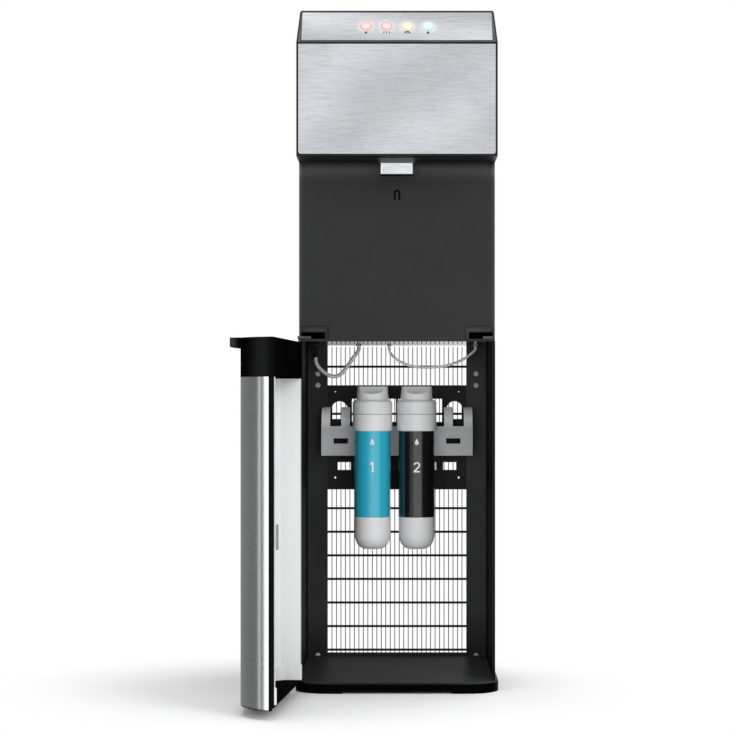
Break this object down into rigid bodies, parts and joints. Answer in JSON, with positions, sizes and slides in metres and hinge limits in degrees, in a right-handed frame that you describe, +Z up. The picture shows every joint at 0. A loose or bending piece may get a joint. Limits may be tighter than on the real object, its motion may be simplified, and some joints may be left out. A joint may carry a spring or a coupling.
{
  "type": "point-of-use water cooler",
  "caption": "Floor-standing bottleless water cooler with a sloping control strip, a cup alcove and a curved door that opens onto twist-in filters and a wire condenser.",
  "frame": {"origin": "on the floor, under the middle of the cabinet", "axes": "+Z up, -Y out of the front, +X to the viewer's right; the door stands open"},
  "size_m": [0.4009, 0.6281, 1.05],
  "materials": {
    "black_plastic": "satin moulded",
    "charcoal_plastic": "fine moulded grain",
    "black_steel": "powder coat",
    "stainless": "brushed",
    "white_plastic": "satin moulded",
    "grey_plastic": "satin moulded",
    "rubber": "matte",
    "chrome": "polished",
    "blue_label": "gloss print",
    "black_label": "gloss print",
    "white_tube": "smooth",
    "green_board": "solder mask",
    "red_glow": "lit ring",
    "pink_glow": "lit ring",
    "yellow_glow": "lit ring",
    "blue_glow": "lit ring"
  },
  "bodies": {
    "cabinet": {"base": "black_plastic", "hinge_blank": "black_plastic", "head_shell": "black_plastic", "sensor_lens": "black_plastic", "deck_grommets": "charcoal_plastic", "condenser_clips": "charcoal_plastic", "alcove_panel": "charcoal_plastic", "top_cover": "charcoal_plastic", "spout_base": "charcoal_plastic", "drain_plug": "charcoal_plastic", "cord_gland": "charcoal_plastic", "switch_frame": "charcoal_plastic", "side_left": "black_steel", "side_right": "black_steel", "deck": "black_steel", "rear_panel": "black_steel", "rear_sill": "black_steel", "back_plate": "black_steel", "condenser_tube": "black_steel", "condenser_wires": "black_steel", "compressor": "black_steel", "hinge_upper": "black_steel", "front_plate": "stainless", "control_plate": "stainless", "spout_cover": "stainless", "hinge_pin": "stainless", "inlet_hose": "stainless", "hot_tank": "stainless", "filter_head_left": "white_plastic", "filter_head_right": "white_plastic", "cold_tank": "white_plastic", "tank_valves": "white_plastic", "inlet_port": "white_plastic", "nozzles": "white_plastic", "filter_bracket": "grey_plastic", "rubber_feet": "rubber", "compressor_mounts": "rubber", "flange_screws": "chrome", "inlet_elbow": "chrome", "outlet_tube": "white_tube", "control_board": "green_board"},
    "door": {"door_skin": "stainless", "door_edge_free": "black_plastic", "door_edge_hinge": "black_plastic", "door_liner": "white_plastic", "door_foot": "black_plastic", "door_cap": "black_plastic"},
    "drip_tray": {"drip_tray": "charcoal_plastic"},
    "drip_grate": {"drip_grate": "stainless"},
    "filter_left": {"cartridge_left": "white_plastic", "label_left": "blue_label"},
    "filter_right": {"cartridge_right": "white_plastic", "label_right": "black_label"},
    "switch_hot": {"switch_hot": "red_glow"},
    "switch_cold": {"switch_cold": "blue_glow"},
    "button_lock": {"button_lock": "red_glow"},
    "button_hot": {"button_hot": "pink_glow"},
    "button_room": {"button_room": "yellow_glow"},
    "button_cold": {"button_cold": "blue_glow"}
  },
  "joints": [
    {"name": "door_hinge", "type": "hinge", "parent": "cabinet", "child": "door", "pos_m": [-0.1511, -0.1544, 0], "axis": [0, 0, 1], "range_deg": [-20, 95]},
    {"name": "drip_tray_lift", "type": "slide", "parent": "door", "child": "drip_tray", "axis": [0, 0, 1], "range_m": [0, 0.06]},
    {"name": "drip_grate_lift", "type": "slide", "parent": "drip_tray", "child": "drip_grate", "axis": [0, 0, 1], "range_m": [0, 0.03]},
    {"name": "filter_left_twist", "type": "hinge", "parent": "cabinet", "child": "filter_left", "pos_m": [-0.0403, 0.052, 0.45], "axis": [0, 0, 1], "range_deg": [0, 90]},
    {"name": "filter_right_twist", "type": "hinge", "parent": "cabinet", "child": "filter_right", "pos_m": [0.0323, 0.052, 0.45], "axis": [0, 0, 1], "range_deg": [0, 90]},
    {"name": "switch_hot_rock", "type": "hinge", "parent": "cabinet", "child": "switch_hot", "pos_m": [-0.012, 0.154, 0.76], "axis": [1, 0, 0], "range_deg": [-8, 8]},
    {"name": "switch_cold_rock", "type": "hinge", "parent": "cabinet", "child": "switch_cold", "pos_m": [0.012, 0.154, 0.76], "axis": [1, 0, 0], "range_deg": [-8, 8]},
    {"name": "button_lock_press", "type": "slide", "parent": "cabinet", "child": "button_lock", "axis": [0, 0.7878, -0.6159], "range_m": [0, 0.0012], "stiffness_N_per_m": 400, "springref_m": -0.0005},
    {"name": "button_hot_press", "type": "slide", "parent": "cabinet", "child": "button_hot", "axis": [0, 0.7878, -0.6159], "range_m": [0, 0.0012], "stiffness_N_per_m": 400, "springref_m": -0.0005},
    {"name": "button_room_press", "type": "slide", "parent": "cabinet", "child": "button_room", "axis": [0, 0.7878, -0.6159], "range_m": [0, 0.0012], "stiffness_N_per_m": 400, "springref_m": -0.0005},
    {"name": "button_cold_press", "type": "slide", "parent": "cabinet", "child": "button_cold", "axis": [0, 0.7878, -0.6159], "range_m": [0, 0.0012], "stiffness_N_per_m": 400, "springref_m": -0.0005}
  ]
}
